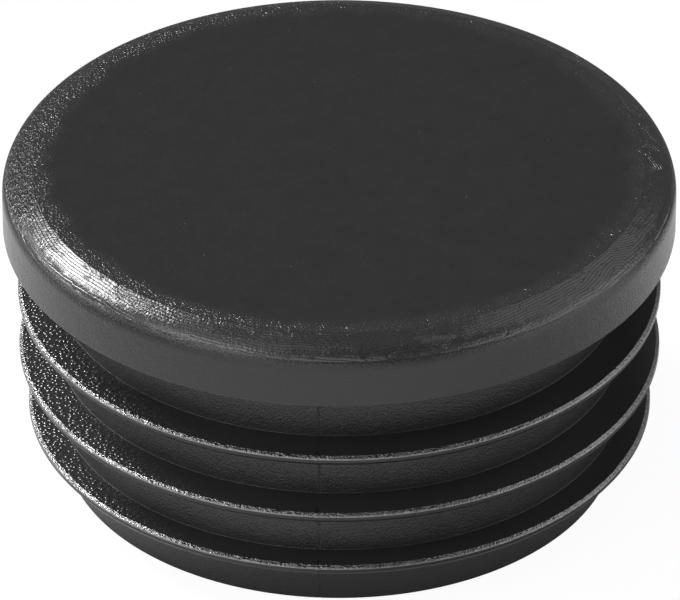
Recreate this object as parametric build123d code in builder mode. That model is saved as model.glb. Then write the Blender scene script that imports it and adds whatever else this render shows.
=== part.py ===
from build123d import *
import os
from math import radians, tan

# Ribbed end cap for a round tube, moulded in one piece of flexible plastic.
# Millimetres. The Z axis is the axis of revolution and the open end of the shank stands on Z = 0.

# ---- The tube that the cap closes ----
tube_diameter = 50.0
thinnest_tube_wall = 1.5
thickest_tube_wall = 3.0

# ---- Head: a disc as wide as the tube, with a flat top, a shallow bevel and a rounded shoulder ----
head_height = 5.0
bevel_width = 2.2
bevel_angle = 20.0
shoulder_radius = 1.8

# ---- Shank: the hollow plug that goes into the tube, tapered at its open end ----
insertion_depth = 19.8
shank_clearance = 0.78
wall_thickness = 1.8
lead_in_length = 3.9
lead_in_setback = 0.45
mouth_edge_chamfer = 0.3

# ---- Lamellae: thin flexible rings with a flat top, an edge drawn in at its foot and a sloping underside ----
lamella_count = 3
lamella_bite = 0.5
lamella_rim = 0.8
lamella_land = 0.45
lamella_draw_in = 0.22
lamella_taper = 0.2
tip_lamella_setback = 0.6

# ---- Cavity and the stub that the gate leaves on its ceiling ----
crown_thickness = 2.8
cavity_draft = 1.0
cavity_corner_chamfer = 1.2
gate_diameter = 1.6
gate_height = 0.4

# ---- Derived levels and radii ----
total_height = insertion_depth + head_height
head_radius = tube_diameter / 2
shoulder_level = total_height - bevel_width * tan(radians(bevel_angle))
lamella_radius = head_radius - thinnest_tube_wall + lamella_bite
shank_radius = head_radius - thickest_tube_wall - shank_clearance
mouth_radius = shank_radius - lead_in_setback
lamella_pitch = (insertion_depth - lead_in_length - lamella_rim) / lamella_count
lamella_root = lamella_rim + lamella_taper
lead_in_level = lead_in_length - lamella_taper
ceiling_level = total_height - crown_thickness
cavity_mouth_radius = shank_radius - wall_thickness
cavity_ceiling_radius = cavity_mouth_radius - ceiling_level * tan(radians(cavity_draft))
same_place = 0.0001


def at_radius(corners, radius):
    """The corners of the half section that lie at one radius."""
    return corners.filter_by(lambda corner: abs(corner.X - radius) < same_place)


def at_level(corners, level):
    """The corners of the half section that lie at one height."""
    return corners.filter_by(lambda corner: abs(corner.Y - level) < same_place)


# One half section, with the radius along X and the height along Y, is turned about the Z axis.
with BuildPart() as end_cap:
    with BuildSketch(Plane.XZ) as section:
        # Shank: straight down to the last lamella, then drawn in to the open end
        with BuildLine():
            Polyline(
                (0, 0),
                (mouth_radius, 0),
                (shank_radius, lead_in_level),
                (shank_radius, insertion_depth),
                (0, insertion_depth),
                close=True,
            )
        make_face()

        # Head: its flat underside overhangs the shank and seats on the end of the tube
        with BuildLine():
            Polyline(
                (0, insertion_depth),
                (head_radius, insertion_depth),
                (head_radius, shoulder_level),
                (head_radius - bevel_width, total_height),
                (0, total_height),
                close=True,
            )
        make_face()

        # Lamellae: evenly spaced below the head, the one nearest the open end a little smaller
        for number in range(1, lamella_count + 1):
            top = insertion_depth - number * lamella_pitch
            is_tip = number == lamella_count
            rim_radius = lamella_radius - (tip_lamella_setback if is_tip else 0)
            with BuildLine():
                Polyline(
                    (cavity_mouth_radius, top),
                    (rim_radius, top),
                    (rim_radius, top - lamella_land),
                    (rim_radius - lamella_draw_in, top - lamella_rim),
                    (shank_radius, top - lamella_root),
                    (cavity_mouth_radius, top - lamella_root),
                    close=True,
                )
            make_face()

        # Cavity: open at the mouth and slightly narrower towards the crown
        with BuildLine():
            Polyline(
                (0, 0),
                (cavity_mouth_radius, 0),
                (cavity_ceiling_radius, ceiling_level),
                (0, ceiling_level),
                close=True,
            )
        make_face(mode=Mode.SUBTRACT)

        # The shoulder is rounded, and the rim of the mouth and the corner of the cavity are broken
        fillet(at_level(at_radius(section.vertices(), head_radius), shoulder_level), shoulder_radius)
        chamfer(at_radius(section.vertices(), cavity_ceiling_radius), cavity_corner_chamfer)
        chamfer(at_level(section.vertices(), 0), mouth_edge_chamfer)
    revolve(axis=Axis.Z)

    # Gate stub, left at the centre of the cavity's ceiling where the plastic was injected
    with BuildSketch(Plane.XY.offset(ceiling_level)):
        Circle(gate_diameter / 2)
    extrude(amount=-gate_height)

end_cap.part.label = "end_cap"

os.makedirs("parts", exist_ok=True)
export_step(end_cap.part, "parts/end_cap.step")
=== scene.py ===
from math import cos, e, pi, radians, sin, tan

import bpy
import numpy as np
from mathutils import Matrix, Vector


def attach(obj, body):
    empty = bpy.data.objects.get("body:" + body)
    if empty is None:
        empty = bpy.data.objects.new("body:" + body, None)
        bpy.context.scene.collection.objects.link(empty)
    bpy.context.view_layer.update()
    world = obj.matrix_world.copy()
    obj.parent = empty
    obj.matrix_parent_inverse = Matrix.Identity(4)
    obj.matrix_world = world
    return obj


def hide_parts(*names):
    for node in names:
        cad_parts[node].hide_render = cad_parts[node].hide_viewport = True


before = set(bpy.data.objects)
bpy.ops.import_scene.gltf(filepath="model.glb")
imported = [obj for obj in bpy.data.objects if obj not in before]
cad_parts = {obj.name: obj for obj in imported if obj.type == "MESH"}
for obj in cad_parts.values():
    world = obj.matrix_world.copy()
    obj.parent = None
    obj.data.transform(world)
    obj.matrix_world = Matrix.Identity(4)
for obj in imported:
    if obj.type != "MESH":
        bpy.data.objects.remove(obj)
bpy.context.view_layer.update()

MM = 0.001

# ---- Sizes of the cap, in millimetres, as in the part's source ----
HEAD_RADIUS = 25.0
SEAT = 19.8                 # the head's flat underside
TOP = 24.8
BEVEL_WIDTH = 2.2
BEVEL_ANGLE = 20.0
SHOULDER_RADIUS = 1.8
SHANK_RADIUS = 21.22
LAMELLA_TOPS = (14.7667, 9.7333, 4.7)
LAMELLA_RADII = (24.0, 24.0, 23.4)
LAMELLA_RIM = 0.8
LAMELLA_DRAW_IN = 0.22
LAMELLA_ROOT = 1.0
MOUTH_RADIUS = 20.77
CAVITY_MOUTH_RADIUS = 19.42
CAVITY_CEILING_RADIUS = 19.036
CEILING = 22.0
GATE_RADIUS = 0.8
GATE_HEIGHT = 0.4

# ---- Edges too fine for the solid ----
TOP_EDGE_RADIUS = 0.6        # where the flat meets the bevel
SEAT_EDGE_RADIUS = 0.14
ROOT_RADIUS = 0.16
LAMELLA_ROOT_RADIUS = 0.05
RIM_LAND = 0.5               # height of the rim's upright face, chamfer included
RIM_CHAMFER_WIDTH = 0.26
RIM_CHAMFER_DROP = 0.16
RIM_CHAMFER_RADIUS = 0.08
RIM_EDGE_RADIUS = 0.18
RIM_FOOT_RADIUS = 0.1
RIM_LOW_RADIUS = 0.1
MOUTH_EDGE_RADIUS = 0.12
CAVITY_CORNER_RADIUS = 1.4
GATE_EDGE_RADIUS = 0.15

# ---- Turning marks on the bevel and the upper shoulder ----
MARK_PITCH = 0.235
MARK_DEPTH = 0.05
TURNED_SLOPE = 27.4          # the turned zone ends where the surface's normal is this steep, in degrees
TURNED_TILT = radians(36)    # mean slope of the turned zone, along which the marks are laid out
PATCH_LENGTH = 3.6           # patches in which the marks lean one way, round the cap
PATCH_WIDTH = 1.6            # and across the turned zone
TOOTH_RISE = 0.74            # share of a mark that climbs before it falls back
LEAN = 0.10                  # marks of a patch lean by up to this,
STRONG_LEAN = 0.45           # and those of a few patches by up to this besides
WORN_FROM, WORN_TO = -29.0, -32.5        # round the cap from its front: here the marks give way to a grain
SHALLOW_AT, SHALLOW_WIDTH = -21.5, 5.5   # and here they are at their shallowest
WITNESS_DEPTH = 0.012        # the fine line that ends the turned zone
WITNESS_WIDTH = 0.16

# ---- Parting line of the mould's sliding halves ----
PARTING = radians(-94.0)
SEAMS = (PARTING, PARTING + pi)
PARTING_WIDTH = 0.14
PARTING_FLASH = 0.05         # it stands proud of the rims
PARTING_GROOVE = 0.025       # and is sunk into the shank
PARTING_TOP = SEAT - 0.3
SEAM_COLUMNS = (-0.14, -0.07, -0.035, 0.0, 0.035, 0.07, 0.14)
SEAM_CLEARANCE = 0.18        # no even column comes nearer to a parting line than this

# ---- Unevenness of the moulded faces ----
WAVINESS = 0.004
WAVES = 8
WAVE_TURNS = 9               # most waves round the cap
WAVE_RATE = 0.5              # and most radians a millimetre along the section
SHRINK = 0.006               # the faces lie this far inside the solid's, so that no relief leaves its box
LEVEL = 0.01                 # two heights closer than this are one level

COLUMNS = 520
TOP_CROWDING = 1.3           # rings of the flat top close up towards its edge by this power
SEED = 11

TOP_FACE, TURNED, WALL, GRAINED, EDGE, RIM, SHANK, CAVITY = range(8)


# ------------------------------------------------------------------ the outline of the half section

def outline():
    """Corners (radius, height, edge radius, steps round the edge, zone of the edge) with, after each,
    the zone and the steps of the straight that leads to the next."""
    corners, straights = [], []

    def add(corner, straight=None):
        corners.append(corner)
        if straight:
            straights.append(straight)

    shoulder = TOP - BEVEL_WIDTH * tan(radians(BEVEL_ANGLE))
    add((0, TOP, 0, 0, TOP_FACE), (TOP_FACE, 12))
    add((HEAD_RADIUS - BEVEL_WIDTH, TOP, TOP_EDGE_RADIUS, 2, TURNED), (TURNED, 12))
    add((HEAD_RADIUS, shoulder, SHOULDER_RADIUS, 32, WALL), (WALL, 4))
    add((HEAD_RADIUS, SEAT, SEAT_EDGE_RADIUS, 4, WALL), (SHANK, 3))
    add((SHANK_RADIUS, SEAT, ROOT_RADIUS, 3, SHANK), (SHANK, 2))
    for top, rim in zip(LAMELLA_TOPS, LAMELLA_RADII):
        add((SHANK_RADIUS, top, LAMELLA_ROOT_RADIUS, 3, SHANK), (GRAINED, 3))
        add((rim - RIM_CHAMFER_WIDTH, top, RIM_CHAMFER_RADIUS, 2, EDGE), (EDGE, 1))
        add((rim, top - RIM_CHAMFER_DROP, RIM_EDGE_RADIUS, 4, EDGE), (RIM, 1))
        add((rim, top - RIM_LAND, RIM_FOOT_RADIUS, 2, RIM), (RIM, 1))
        add((rim - LAMELLA_DRAW_IN, top - LAMELLA_RIM, RIM_LOW_RADIUS, 2, RIM), (SHANK, 2))
        add((SHANK_RADIUS, top - LAMELLA_ROOT, ROOT_RADIUS, 3, SHANK), (SHANK, 2))
    add((MOUTH_RADIUS, 0, MOUTH_EDGE_RADIUS, 3, SHANK), (SHANK, 1))
    add((CAVITY_MOUTH_RADIUS, 0, MOUTH_EDGE_RADIUS, 3, CAVITY), (CAVITY, 6))
    add((CAVITY_CEILING_RADIUS, CEILING, CAVITY_CORNER_RADIUS, 5, CAVITY), (CAVITY, 5))
    add((GATE_RADIUS, CEILING, GATE_EDGE_RADIUS, 2, CAVITY), (CAVITY, 1))
    add((GATE_RADIUS, CEILING - GATE_HEIGHT, GATE_EDGE_RADIUS, 2, CAVITY), (CAVITY, 1))
    add((0, CEILING - GATE_HEIGHT, 0, 0, CAVITY))
    return corners, straights


def edge_arc(before, at, after, radius, steps):
    """Points of the arc that rounds the corner at, each with the direction of the section there."""
    p, a, b = Vector(at), Vector(before) - Vector(at), Vector(after) - Vector(at)
    a.normalize()
    b.normalize()
    half = a.angle(b) / 2
    reach = radius / tan(half)
    middle = p + (a + b).normalized() * (radius / sin(half))
    u, w = p + a * reach - middle, p + b * reach - middle
    sweep = u.angle(w)
    spots = []
    for k in range(steps + 1):
        t = k / steps
        q = middle + (u * sin((1 - t) * sweep) + w * sin(t * sweep)) / sin(sweep)
        way = (w * cos(t * sweep) - u * cos((1 - t) * sweep)).normalized()
        spots.append((q.x, q.y, way.x, way.y))
    return spots


def section():
    """Rows of the section: arrays of radius, height and direction, and the zone of the strip below each."""
    corners, straights = outline()
    spots, zones = [(corners[0][0], corners[0][1], 1.0, 0.0)], []
    for i, (zone, steps) in enumerate(straights):
        here = corners[i + 1]
        if here[2]:
            arc = edge_arc(corners[i][:2], here[:2], corners[i + 2][:2], here[2], here[3])
        else:
            arc = [here[:2]]
        start, end = spots[-1], arc[0]
        way = (Vector(end[:2]) - Vector(start[:2])).normalized()
        for k in range(1, steps + 1):
            t = k / steps
            if i == 0:
                t = 1 - (1 - t) ** TOP_CROWDING
            spot = Vector(start[:2]) * (1 - t) + Vector(end[:2]) * t
            spots.append((spot.x, spot.y, way.x, way.y))
            zones.append(zone)
        for k, spot in enumerate(arc[1:], 1):
            zone_here = here[4]
            if here[2] == SHOULDER_RADIUS:
                slope = 90 - BEVEL_ANGLE - (90 - BEVEL_ANGLE) * k / here[3]
                zone_here = TURNED if slope > TURNED_SLOPE else WALL
            spots.append(spot)
            zones.append(zone_here)
    r, z, dr, dz = np.array(spots).T
    return r, z, dr, dz, np.array(zones)


# ------------------------------------------------------------------ relief

rng = np.random.default_rng(SEED)


def ripples(angle, along, count, turns, rate):
    """Smooth noise round the cap and along the section: a sum of waves, about one high."""
    total = np.zeros(np.broadcast(angle, along).shape)
    for _ in range(count):
        m = int(rng.integers(-turns, turns + 1))
        w = rng.uniform(-rate, rate)
        total += np.cos(m * angle + w * along + rng.uniform(0, 2 * pi))
    return total / (count / 2) ** 0.5


def from_seam(angle, seam):
    """How far an angle lies from a parting line, round the shank."""
    return np.angle(np.exp(1j * (angle - seam))) * SHANK_RADIUS


def column_angles():
    """Even steps round the cap, with a few close together at the two parting lines."""
    even = np.arange(COLUMNS) * 2 * pi / COLUMNS
    fine = np.array(SEAM_COLUMNS) / SHANK_RADIUS
    extra = np.concatenate([seam + fine for seam in SEAMS]) % (2 * pi)
    clear = [np.abs(from_seam(even, seam)) > SEAM_CLEARANCE for seam in SEAMS]
    return np.sort(np.concatenate([even[np.all(clear, axis=0)], extra]))


def relief(angle, along, z, row_zone):
    """How far each point of the cap stands proud of the section."""
    lift = np.full((len(z), len(angle)), -SHRINK)

    # The witness line that ends the turned zone
    last = np.flatnonzero(row_zone == TURNED)[-1]
    lift -= WITNESS_DEPTH * np.exp(-((along[:, None] - along[last]) / (WITNESS_WIDTH / 2)) ** 2)

    # Slight unevenness of the moulded faces
    lift -= WAVINESS * (1 + ripples(angle[None, :], along[:, None], WAVES, WAVE_TURNS, WAVE_RATE) / 3)

    # Parting lines below the head
    below = z < PARTING_TOP
    flash = np.where(below & ((row_zone == RIM) | (row_zone == EDGE)), PARTING_FLASH, 0)
    groove = np.where(below & (row_zone == SHANK), PARTING_GROOVE, 0)
    for seam in SEAMS:
        line = np.exp(-(from_seam(angle, seam) / (PARTING_WIDTH / 2)) ** 2)
        lift += (flash - groove)[:, None] * line[None, :]

    # Nothing stands proud of the head, and the mouth stays level
    head = z > SEAT - LEVEL
    mouth = z < LEVEL
    lift[head] = np.minimum(lift[head], 0)
    lift[mouth] = 0
    lift[0] = lift[-1] = 0
    return lift


def exact_normals(angle, along, r, dr, dz, lift):
    """Those of the section, leaning with the relief."""
    nr, nz = -dz, dr
    slope = np.gradient(lift, along, axis=0)
    turn = np.mod(np.roll(angle, -1) - np.roll(angle, 1), 2 * pi)
    sideways = (np.roll(lift, -1, 1) - np.roll(lift, 1, 1)) / turn / np.maximum(r, 1.0)[:, None]
    lean_r = nr[:, None] - slope * dr[:, None]
    lean_z = nz[:, None] - slope * dz[:, None]
    x = lean_r * np.cos(angle) + sideways * np.sin(angle)
    y = lean_r * np.sin(angle) - sideways * np.cos(angle)
    inner = np.stack([x, y, lean_z], -1)[1:-1].reshape(-1, 3)
    normals = np.concatenate([[[0, 0, 1.0]], inner, [[0, 0, -1.0]]])
    return normals / np.linalg.norm(normals, axis=1)[:, None]


def skin(rows, columns, zones):
    """Faces of the closed skin: a fan at the top's middle, strips of quads and a fan at the gate's middle."""
    here = np.arange(columns)
    after = (here + 1) % columns
    end = 1 + (rows - 2) * columns
    faces = [(0, 1 + k, 1 + after[k]) for k in here]
    zone_of = [zones[0]] * columns
    for row in range(rows - 3):
        a = 1 + row * columns
        b = a + columns
        faces += [(a + k, b + k, b + after[k], a + after[k]) for k in here]
        zone_of += [zones[row + 1]] * columns
    a = end - columns
    faces += [(a + k, end, a + after[k]) for k in here]
    zone_of += [zones[-1]] * columns
    return [tuple(int(v) for v in face) for face in faces], zone_of


def build_cap():
    """The half section turned about Z, with its relief and exact normals."""
    r, z, dr, dz, zones = section()
    along = np.concatenate([[0], np.cumsum(np.hypot(np.diff(r), np.diff(z)))])
    angle = column_angles()
    lift = relief(angle, along, z, np.concatenate([[zones[0]], zones]))

    rr = r[:, None] - lift * dz[:, None]
    zz = z[:, None] + lift * dr[:, None]
    inner = np.stack([rr * np.cos(angle), rr * np.sin(angle), zz], -1)[1:-1].reshape(-1, 3)
    spots = np.concatenate([[[0, 0, z[0]]], inner, [[0, 0, z[-1]]]]) * MM
    faces, zone_of = skin(len(r), len(angle), zones)

    mesh = bpy.data.meshes.new("end_cap_moulding")
    mesh.from_pydata(spots.tolist(), [], faces)
    mesh.polygons.foreach_set("material_index", np.array(zone_of, np.int32))
    mesh.polygons.foreach_set("use_smooth", np.ones(len(faces), bool))
    mesh.update()
    mesh.normals_split_custom_set_from_vertices(exact_normals(angle, along, r, dr, dz, lift).tolist())
    piece = bpy.data.objects.new("end_cap_moulding", mesh)
    bpy.context.scene.collection.objects.link(piece)
    return piece


# ------------------------------------------------------------------ materials
# Sizes of noise, beads and cells are in millimetres, and so is the height that each is multiplied by.

class Nodes:
    """A short way to write a node tree. A value is a number, a colour or another node's output."""

    def __init__(self, owner):
        owner.use_nodes = True
        self.tree = owner.node_tree
        self.tree.nodes.clear()

    def add(self, kind, settings=None, **inputs):
        node = self.tree.nodes.new(kind)
        for name, value in (settings or {}).items():
            setattr(node, name, value)
        for name, value in inputs.items():
            self.put(node, name.replace("_", " "), value)
        return node

    def put(self, node, socket, value):
        socket = node.inputs[socket]
        if isinstance(value, bpy.types.NodeSocket):
            self.tree.links.new(value, socket)
        else:
            socket.default_value = value

    def math(self, operation, *values):
        node = self.add("ShaderNodeMath", {"operation": operation})
        for k, value in enumerate(values):
            self.put(node, k, value)
        return node.outputs[0]

    def plus(self, *values):
        total = values[0]
        for value in values[1:]:
            total = self.math("ADD", total, value)
        return total

    def times(self, *values):
        total = values[0]
        for value in values[1:]:
            total = self.math("MULTIPLY", total, value)
        return total

    def place(self):
        """Where a point lies on the cap, in millimetres."""
        spot = self.add("ShaderNodeTexCoord").outputs["Object"]
        node = self.add("ShaderNodeVectorMath", {"operation": "SCALE"}, Scale=1 / MM)
        self.put(node, 0, spot)
        return node.outputs[0]

    def rise(self, value, low, high, start=0.0, end=1.0):
        """Goes smoothly from start to end as value goes from low to high."""
        node = self.add("ShaderNodeMapRange", {"interpolation_type": "SMOOTHSTEP"})
        for socket, given in (("Value", value), ("From Min", low), ("From Max", high)):
            self.put(node, socket, given)
        self.put(node, "To Min", start)
        self.put(node, "To Max", end)
        return node.outputs[0]

    def noise(self, place, size, detail=1.0, roughness=0.5):
        """Smooth noise about 0, mostly within 1, with features of that size in millimetres."""
        node = self.add("ShaderNodeTexNoise", Vector=place, Scale=1 / size, Detail=detail)
        self.put(node, "Roughness", roughness)
        return self.math("MULTIPLY_ADD", node.outputs["Fac"], 4.0, -2.0)

    def cells(self, place, size, flat=False):
        """Voronoi cells of that size: the distance from the middle, in cell sizes, and random numbers."""
        kind = {"voronoi_dimensions": "2D" if flat else "3D"}
        node = self.add("ShaderNodeTexVoronoi", kind, Vector=place, Scale=1 / size)
        random = self.add("ShaderNodeSeparateColor", Color=node.outputs["Color"])
        return node.outputs["Distance"], random.outputs

    def beads(self, place, size, cover=0.5, least=0.2):
        """Round beads of differing height, up to one high, on a flat ground."""
        distance, random = self.cells(place, size)
        return self.times(self.dome(distance, cover), self.rise(random[0], 0.0, 1.0, least, 1.0))

    def dome(self, distance, cover):
        """One at the middle of a cell, down to nothing at the distance cover."""
        fallen = self.math("POWER", self.math("DIVIDE", distance, cover), 2.0)
        return self.math("MAXIMUM", self.math("SUBTRACT", 1.0, fallen), 0.0)

    def bell(self, value, middle, width):
        """One at the middle, falling away to nothing over the width on either side."""
        off = self.math("DIVIDE", self.math("SUBTRACT", value, middle), width)
        return self.math("POWER", e, self.math("MULTIPLY", self.math("MULTIPLY", off, off), -1.0))

    def radius(self, place):
        """Distance from the cap's axis."""
        flat = self.add("ShaderNodeVectorMath", {"operation": "MULTIPLY"})
        self.put(flat, 0, place)
        self.put(flat, 1, (1, 1, 0))
        length = self.add("ShaderNodeVectorMath", {"operation": "LENGTH"})
        self.put(length, 0, flat.outputs[0])
        return length.outputs["Value"]


BLACK = (0.013, 0.013, 0.0135)


def plastic(name, relief, roughness=0.35, colour=BLACK, ior=1.5):
    """Black plastic. relief(nodes) gives the height of the fine relief in millimetres;
    roughness and ior are constants or functions of the nodes."""
    material = bpy.data.materials.new(name)
    n = Nodes(material)
    shader = n.add("ShaderNodeBsdfPrincipled")
    n.put(shader, "IOR", ior(n) if callable(ior) else ior)
    n.put(shader, "Roughness", roughness(n) if callable(roughness) else roughness)
    n.put(shader, "Base Color", (*colour, 1))
    bump = n.add("ShaderNodeBump", Strength=1.0, Distance=MM, Height=relief(n))
    n.put(shader, "Normal", bump.outputs["Normal"])
    out = n.add("ShaderNodeOutputMaterial")
    n.put(out, "Surface", shader.outputs["BSDF"])
    return material


EDGE_ZONE_START = 2.0        # the flat's rough zone starts this far inside its edge
EDGE_ZONE_FULL = 0.5         # and is full from here outwards


def top_face():
    """Fine matt grain; near its edge it is glossier, and rough with flecks, most of all on the left."""
    edge = HEAD_RADIUS - BEVEL_WIDTH

    def near_edge(n, place):
        ragged = n.plus(n.radius(place), n.times(n.noise(place, 2.2, 2.0), 0.5))
        return n.rise(ragged, edge - EDGE_ZONE_START, edge - EDGE_ZONE_FULL)

    def left_share(n, place):
        x = n.add("ShaderNodeSeparateXYZ", Vector=place).outputs["X"]
        return n.rise(n.math("DIVIDE", x, -edge), -0.1, 0.5, 0.5, 1.0)

    def relief(n):
        place = n.place()
        near = near_edge(n, place)
        grain = n.plus(n.times(n.noise(place, 0.18, 2.0, 0.6), 0.006), n.times(n.noise(place, 0.6), 0.006))
        share = left_share(n, place)
        rough = n.times(n.noise(place, 0.18, 1.0), near, share, 0.03)
        patch = n.rise(n.noise(place, 1.3), 0.0, 0.8)
        flecks = n.times(n.beads(place, 0.34, 0.45, 0.2), near, patch, share, 0.11)
        dust = n.times(n.beads(place, 1.6, 0.07, 0.0), 0.03)
        return n.plus(grain, rough, flecks, dust)

    def roughness(n):
        place = n.place()
        cloudy = n.rise(n.noise(place, 1.5, 3.0, 0.6), -1.0, 1.0, 0.29, 0.36)
        return n.math("SUBTRACT", cloudy, n.times(near_edge(n, place), 0.05))

    def ior(n):
        return n.plus(1.47, n.times(near_edge(n, n.place()), 0.23))

    return plastic("plastic_top_face", relief, roughness, ior=ior)


def turned():
    """Saw-toothed turning marks in patches that lean and bend, mixed with a broken grain.
    around runs round the cap from its front, and across runs outwards from the edge of the flat."""
    edge = (HEAD_RADIUS - BEVEL_WIDTH) * cos(TURNED_TILT) - TOP * sin(TURNED_TILT)

    def relief(n):
        place = n.place()
        x, y, z = n.add("ShaderNodeSeparateXYZ", Vector=place).outputs
        around = n.times(n.math("ARCTAN2", x, n.times(y, -1.0)), HEAD_RADIUS - BEVEL_WIDTH / 2)
        across = n.plus(n.times(n.radius(place), cos(TURNED_TILT)), n.times(z, -sin(TURNED_TILT)), -edge)
        lengthways, widthways = n.times(around, 1 / PATCH_LENGTH), n.times(across, 1 / PATCH_WIDTH)
        patch = n.add("ShaderNodeCombineXYZ", X=lengthways, Y=widthways)
        random = n.cells(patch.outputs[0], 1.0, flat=True)[1]
        side = n.math("MULTIPLY_ADD", random[0], 2.0, -1.0)
        lean = n.plus(n.times(side, LEAN), n.times(n.math("POWER", side, 5.0), STRONG_LEAN))
        bend = n.plus(n.times(n.noise(place, 8.0), 0.3), n.times(n.noise(place, 1.6), 0.04))
        turn = n.plus(n.times(n.plus(across, bend, n.times(around, lean)), 1 / MARK_PITCH), random[1])
        part = n.math("FRACT", turn)
        teeth = n.math("SUBTRACT", part, n.rise(part, TOOTH_RISE, 1.0))
        broken = n.rise(n.noise(place, 0.8), -1.0, 0.2, 0.2, 1.0)
        strength = n.times(n.rise(random[2], 0.0, 0.7, 0.5, 1.0), broken)
        worn = n.math("MAXIMUM", n.rise(around, WORN_FROM, WORN_TO), n.rise(n.noise(place, 3.5), 0.7, 1.2))
        window = n.rise(n.plus(across, n.times(n.noise(place, 0.5), 0.2)), -0.2, 0.15)
        shallow = n.math("MULTIPLY_ADD", n.bell(around, SHALLOW_AT, SHALLOW_WIDTH), -0.5, 1.0)
        kept = n.math("MULTIPLY_ADD", worn, -0.8, 1.0)
        marks = n.times(teeth, strength, kept, window, shallow, -MARK_DEPTH)
        drawn_out = n.add("ShaderNodeCombineXYZ", X=n.times(around, 0.35), Y=across)
        grain = n.times(n.noise(place, 0.19, 1.0), n.math("MULTIPLY_ADD", worn, 0.012, 0.008), shallow)
        grain = n.plus(grain, n.times(n.noise(drawn_out.outputs[0], 0.155, 1.0), worn, 0.075))
        clusters = n.rise(n.noise(place, 2.0), 0.0, 0.6)
        specks = n.times(n.beads(place, 0.3, 0.45, 0.0), n.bell(across, 0.3, 0.2), clusters, 0.06)
        return n.plus(marks, grain, specks)

    return plastic("plastic_turned", relief, 0.28, ior=1.65)


def head_wall():
    """The head's side and lower shoulder: a fine grain with a little dust."""
    def relief(n):
        place = n.place()
        fine = n.times(n.noise(place, 0.15, 1.0), 0.011)
        broad = n.times(n.noise(place, 1.2, 2.0), 0.009)
        dust = n.times(n.beads(place, 1.1, 0.12, 0.0), 0.03)
        return n.plus(fine, broad, dust)

    return plastic("plastic_head_wall", relief, 0.3, ior=1.48)


GRAIN_SIZE = 0.33            # one bead to a cell of this size
GRAIN_COVER = 0.56           # radius of a bead, in cells
GRAIN_HEIGHT = 0.1
GROUND_HEIGHT = 0.018        # height of the fine beads between them
GRAIN_COLOUR = (0.026, 0.026, 0.0268)


def grains(n, place):
    """Round beads of about one height, with a few missing."""
    distance, random = n.cells(place, GRAIN_SIZE)
    height = n.rise(random[0], 0.0, 1.0, 0.7, 1.0)
    return n.times(n.dome(distance, GRAIN_COVER), height, n.rise(random[1], 0.02, 0.06))


def grain_strength(n, place):
    """Full on the left of the cap, fading towards the front, first near the shank and last at the rim."""
    x = n.add("ShaderNodeSeparateXYZ", Vector=place).outputs["X"]
    left = n.math("DIVIDE", x, n.times(n.radius(place), -1.0))
    outwards = n.plus(n.radius(place), -(SHANK_RADIUS + LAMELLA_RADII[0]) / 2)
    return n.rise(n.plus(left, n.times(outwards, 0.14)), 0.42, 0.85, 0.03, 1.0)


def grained():
    """The coarse spark-eroded grain on the upper faces of the lamellae."""
    def relief(n):
        place = n.place()
        strength = grain_strength(n, place)
        ground = n.times(n.beads(place, 0.2, 0.5, 0.0), GROUND_HEIGHT)
        coarse = n.plus(n.times(grains(n, place), GRAIN_HEIGHT), ground)
        return n.plus(n.times(coarse, strength), n.times(n.noise(place, 1.0), 0.005))

    def roughness(n):
        place = n.place()
        return n.rise(n.times(grains(n, place), grain_strength(n, place)), 0.0, 0.2, 0.3, 0.2)

    def ior(n):
        place = n.place()
        return n.rise(n.times(grains(n, place), grain_strength(n, place)), 0.0, 0.2, 1.5, 2.0)

    return plastic("plastic_grained", relief, roughness, GRAIN_COLOUR, ior)


def lamella_edge():
    """The rounded upper edge of a lamella, where the grain runs together into a bead."""
    def relief(n):
        place = n.place()
        normal = n.add("ShaderNodeTexCoord").outputs["Normal"]
        upright = n.add("ShaderNodeSeparateXYZ", Vector=normal).outputs["Z"]
        upper = n.rise(upright, 0.1, 0.5, 0.15, 1.0)
        x = n.add("ShaderNodeSeparateXYZ", Vector=place).outputs["X"]
        strength = n.rise(n.math("DIVIDE", x, n.times(n.radius(place), -1.0)), -1.0, 0.4, 0.55, 1.0)
        coarse = n.plus(n.times(grains(n, place), 0.04), n.times(n.noise(place, 0.15, 1.0), 0.025))
        return n.times(coarse, upper, strength)

    return plastic("plastic_lamella_edge", relief, 0.21, ior=2.5)


def rim():
    """The upright face of a lamella's rim, smooth and rather dull."""
    def relief(n):
        place = n.place()
        return n.plus(n.times(n.noise(place, 0.3, 2.0), 0.008), n.times(n.noise(place, 0.12), 0.002))

    return plastic("plastic_rim", relief, 0.3, ior=1.43)


def shank():
    """The shank and the lamellae's undersides: a fine grain, and a dull line at the front parting line."""
    def relief(n):
        place = n.place()
        return n.plus(n.times(n.noise(place, 0.15, 1.0), 0.013), n.times(n.noise(place, 1.2), 0.008))

    def roughness(n):
        place = n.place()
        x, y, z = n.add("ShaderNodeSeparateXYZ", Vector=place).outputs
        off = n.times(n.math("ARCTAN2", n.times(x, -1.0), n.times(y, -1.0)), SHANK_RADIUS)
        seam = n.bell(off, -(PARTING + pi / 2) * SHANK_RADIUS, PARTING_WIDTH)
        dotted = n.times(seam, n.rise(n.noise(place, 0.3), -0.8, 0.2))
        return n.math("MULTIPLY_ADD", dotted, 0.5, 0.42)

    return plastic("plastic_shank", relief, roughness, ior=1.55)


def cavity():
    """The hollow inside: nearly smooth."""
    def relief(n):
        return n.times(n.noise(n.place(), 0.3, 2.0), 0.003)

    return plastic("plastic_cavity", relief, 0.42)


def materials():
    """In the order of the zones."""
    return [top_face(), turned(), head_wall(), grained(), lamella_edge(), rim(), shank(), cavity()]


# ------------------------------------------------------------------ stage, light and camera

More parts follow.
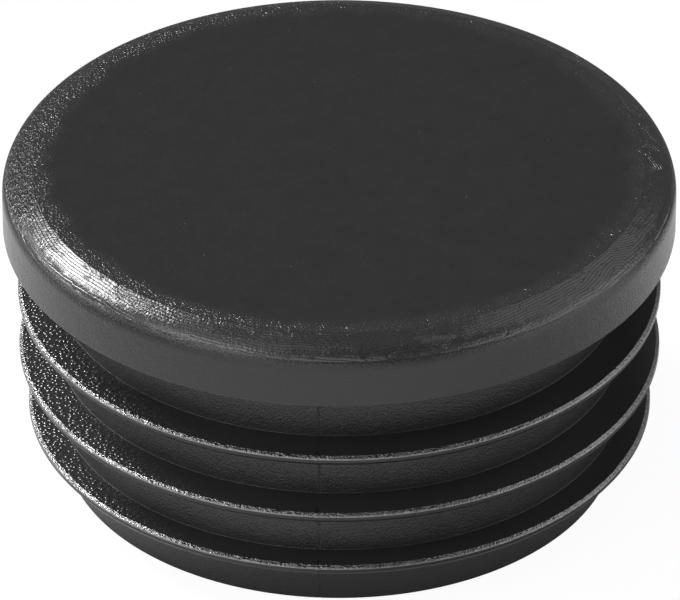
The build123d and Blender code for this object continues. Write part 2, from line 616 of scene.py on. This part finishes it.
FLOOR_LEFT = (-0.120, -0.085)               # in metres, the sheet fades out to the left of the cap,
FLOOR_BACK = (0.030, 0.055)                 # behind it
FLOOR_FAR = (0.36, 0.40)                    # and far away all round it
FLOOR_MOUTH = CAVITY_MOUTH_RADIUS - 1.0     # open under the hidden cavity, so that it is lit from below
FLOOR_COLOUR = 0.85
FLOOR_SHOWN = 0.09                          # share of the floor's white that takes the shadow
FLOOR_WHITE = 0.94                          # and the share that is white whatever falls on it
WORLD = 0.18                                # strength of the surroundings, except to the camera


def floor_sheet():
    """A white sheet that fades into a white background. Nothing of it shows from below."""
    bpy.ops.mesh.primitive_plane_add(size=2 * FLOOR_FAR[1], location=(0, 0, 0))
    floor = bpy.context.object
    floor.name = "floor"
    material = bpy.data.materials.new("floor")
    n = Nodes(material)
    lit = n.add("ShaderNodeBsdfDiffuse", Color=(FLOOR_COLOUR,) * 3 + (1,))
    shown = n.add("ShaderNodeBsdfDiffuse", Color=(FLOOR_SHOWN,) * 3 + (1,))
    white = n.add("ShaderNodeEmission", Strength=FLOOR_WHITE)
    both = n.add("ShaderNodeAddShader")
    n.put(both, 0, shown.outputs[0])
    n.put(both, 1, white.outputs[0])
    sheet = n.add("ShaderNodeMixShader", Fac=n.add("ShaderNodeLightPath").outputs["Is Camera Ray"])
    n.put(sheet, 1, lit.outputs[0])
    n.put(sheet, 2, both.outputs[0])
    place = n.place()
    x, y, z = n.add("ShaderNodeSeparateXYZ", Vector=place).outputs
    left = n.rise(x, FLOOR_LEFT[0] / MM, FLOOR_LEFT[1] / MM, 1.0, 0.0)
    back = n.rise(y, FLOOR_BACK[0] / MM, FLOOR_BACK[1] / MM)
    far = n.rise(n.radius(place), FLOOR_FAR[0] / MM, FLOOR_FAR[1] / MM)
    mouth = n.rise(n.radius(place), FLOOR_MOUTH, FLOOR_MOUTH + 0.1, 1.0, 0.0)
    fade = n.math("MAXIMUM", n.math("MAXIMUM", left, back), n.math("MAXIMUM", far, mouth))
    below = n.add("ShaderNodeNewGeometry").outputs["Backfacing"]
    final = n.add("ShaderNodeMixShader", Fac=n.math("MAXIMUM", fade, below))
    n.put(final, 1, sheet.outputs[0])
    n.put(final, 2, n.add("ShaderNodeBsdfTransparent").outputs[0])
    out = n.add("ShaderNodeOutputMaterial")
    n.put(out, "Surface", final.outputs[0])
    floor.data.materials.append(material)


def surroundings():
    """White to the camera and dim to everything else."""
    world = bpy.data.worlds.new("studio")
    bpy.context.scene.world = world
    n = Nodes(world)
    strength = n.rise(n.add("ShaderNodeLightPath").outputs["Is Camera Ray"], 0.0, 1.0, WORLD, 1.0)
    background = n.add("ShaderNodeBackground", Color=(1, 1, 1, 1), Strength=strength)
    out = n.add("ShaderNodeOutputWorld")
    n.put(out, "Surface", background.outputs["Background"])


def lamp(name, azimuth, elevation, size, brightness, distance=0.8):
    """A rectangular softbox aimed at the cap. Azimuth 0 is the camera's side and 90 is +X.
    A brightness of 1 is white."""
    turn, lift = radians(azimuth), radians(elevation)
    away = Vector((sin(turn) * cos(lift), -cos(turn) * cos(lift), sin(lift)))
    data = bpy.data.lights.new(name, "AREA")
    data.shape = "RECTANGLE"
    data.size, data.size_y = size
    data.energy = brightness * pi * size[0] * size[1]
    holder = bpy.data.objects.new(name, data)
    holder.location = away * distance + Vector((0, 0, SEAT * MM))
    holder.rotation_mode = "QUATERNION"
    holder.rotation_quaternion = (-away).to_track_quat("-Z", "Y")
    bpy.context.scene.collection.objects.link(holder)
    return holder


def lights():
    """Two strong lamps behind the left for the bright bevel, weak ones round it, one under the cavity."""
    lamp("key", -125, 45, (0.22, 0.2), 34)
    lamp("key_lower", -114, 36, (0.22, 0.18), 23)
    lamp("key_low", -105, 8, (0.9, 0.2), 3.4)
    lamp("left_high", -45, 60, (0.5, 0.5), 0.77)
    lamp("left_fill", -50, 30, (0.5, 0.27), 3.6)
    lamp("front_low", -20, 7, (1.0, 0.36), 1.28)
    lamp("right_low", 75, 7, (1.1, 0.36), 1.7)
    lamp("right_high", 105, 45, (0.8, 0.75), 0.9)
    under = lamp("under", 0, -89, (0.25, 0.25), 2.0, 0.3)
    under.visible_camera = False


CAMERA_DISTANCE = 0.62145                   # metres from the middle of the head's underside
CAMERA_ELEVATION = 32.69
CAMERA_ROLL = -0.0011
FOCAL_PIXELS = 8360.0                       # focal length in pixels of the photograph
PICTURE_WIDTH = 680
SENSOR_WIDTH = 36.0
AIM_X = 0.050
AIM_Z = 12.663


def camera():
    """The photograph's view: a long lens, 32.7 degrees above the table."""
    elevation = radians(CAMERA_ELEVATION)
    seat = Vector((0, 0, SEAT * MM))
    spot = seat + CAMERA_DISTANCE * Vector((0, -cos(elevation), sin(elevation)))
    aim = Vector((AIM_X, 0, AIM_Z)) * MM
    data = bpy.data.cameras.new("camera")
    data.sensor_fit = "HORIZONTAL"
    data.sensor_width = SENSOR_WIDTH
    data.lens = FOCAL_PIXELS * SENSOR_WIDTH / PICTURE_WIDTH
    data.clip_start, data.clip_end = 0.01, 50
    holder = bpy.data.objects.new("camera", data)
    turn = (aim - spot).to_track_quat("-Z", "Y").to_matrix() @ Matrix.Rotation(CAMERA_ROLL, 3, "Z")
    holder.matrix_world = Matrix.Translation(spot) @ turn.to_4x4()
    bpy.context.scene.collection.objects.link(holder)
    bpy.context.scene.camera = holder


cap = build_cap()
for material in materials():
    cap.data.materials.append(material)
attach(cap, "root")
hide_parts("end_cap")
floor_sheet()
surroundings()
lights()
camera()

scene = bpy.context.scene
scene.view_settings.view_transform = "Standard"
